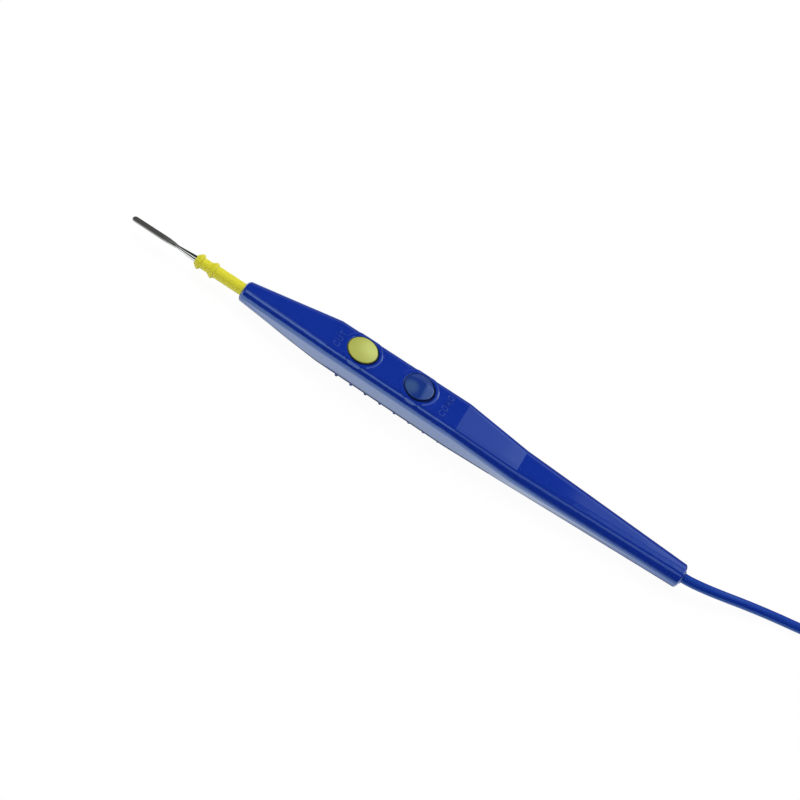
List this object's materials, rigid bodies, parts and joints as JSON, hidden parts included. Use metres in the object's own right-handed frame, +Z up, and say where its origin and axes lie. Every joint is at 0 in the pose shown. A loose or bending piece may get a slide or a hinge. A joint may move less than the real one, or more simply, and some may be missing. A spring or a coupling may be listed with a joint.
{
  "type": "electrosurgical pencil",
  "caption": "Slim faceted hand-switched pencil with domed push buttons, a pull-out blade electrode in an insulating sleeve, and a cable folded in a hank that ends in a pin plug.",
  "frame": {"origin": "middle of the pencil's length and width without its free cable, on the table that it lies on", "axes": "+X along the pencil from the blade to the cable, +Z up through the buttons, -Y the side that the picture is taken from"},
  "size_m": [0.4299, 0.0504, 0.0142],
  "materials": {
    "handle_blue": "moulded ABS, satin gloss",
    "cover_blue": "moulded ABS, satin gloss",
    "cut_yellow": "moulded ABS, gloss",
    "coag_blue": "moulded ABS, gloss",
    "board_green": "glass-fibre board with solder mask",
    "dome_steel": "spring steel",
    "electrode_steel": "stainless steel, pressed",
    "sleeve_yellow": "moulded insulation, satin",
    "socket_brass": "turned brass",
    "cable_blue": "flexible PVC, satin",
    "wire_white": "PVC insulation",
    "wire_yellow": "PVC insulation",
    "wire_blue": "PVC insulation",
    "tie_white": "plastic band, matt",
    "plug_blue": "moulded, satin gloss",
    "pin_brass": "nickel-plated brass"
  },
  "bodies": {
    "handle": {"handle_body": "handle_blue", "belly_cover": "cover_blue", "circuit_board": "board_green", "cut_snap_dome": "dome_steel", "coag_snap_dome": "dome_steel", "electrode_socket": "socket_brass", "cable_bush": "cable_blue", "active_wire": "wire_white", "cut_wire": "wire_yellow", "coag_wire": "wire_blue", "cord_lead": "cable_blue", "cord_hank": "cable_blue", "hank_tie": "tie_white", "cord_tail": "cable_blue", "plug_boot": "cable_blue", "plug_body": "plug_blue", "active_pin": "pin_brass", "cut_pin": "pin_brass", "coag_pin": "pin_brass"},
    "cut_button": {"cut_button": "cut_yellow"},
    "coag_button": {"coag_button": "coag_blue"},
    "electrode": {"electrode_blade": "electrode_steel", "electrode_sleeve": "sleeve_yellow"}
  },
  "joints": [
    {"name": "cut_press", "type": "slide", "parent": "handle", "child": "cut_button", "axis": [0, 0, -1], "range_m": [0, 0.0006], "stiffness_N_per_m": 500, "springref_m": -0.002, "deforming": ["cut_snap_dome"]},
    {"name": "coag_press", "type": "slide", "parent": "handle", "child": "coag_button", "axis": [0, 0, -1], "range_m": [0, 0.0006], "stiffness_N_per_m": 500, "springref_m": -0.002, "deforming": ["coag_snap_dome"]},
    {"name": "electrode_pull", "type": "slide", "parent": "handle", "child": "electrode", "axis": [-1, 0, 0], "range_m": [0, 0.032]}
  ]
}
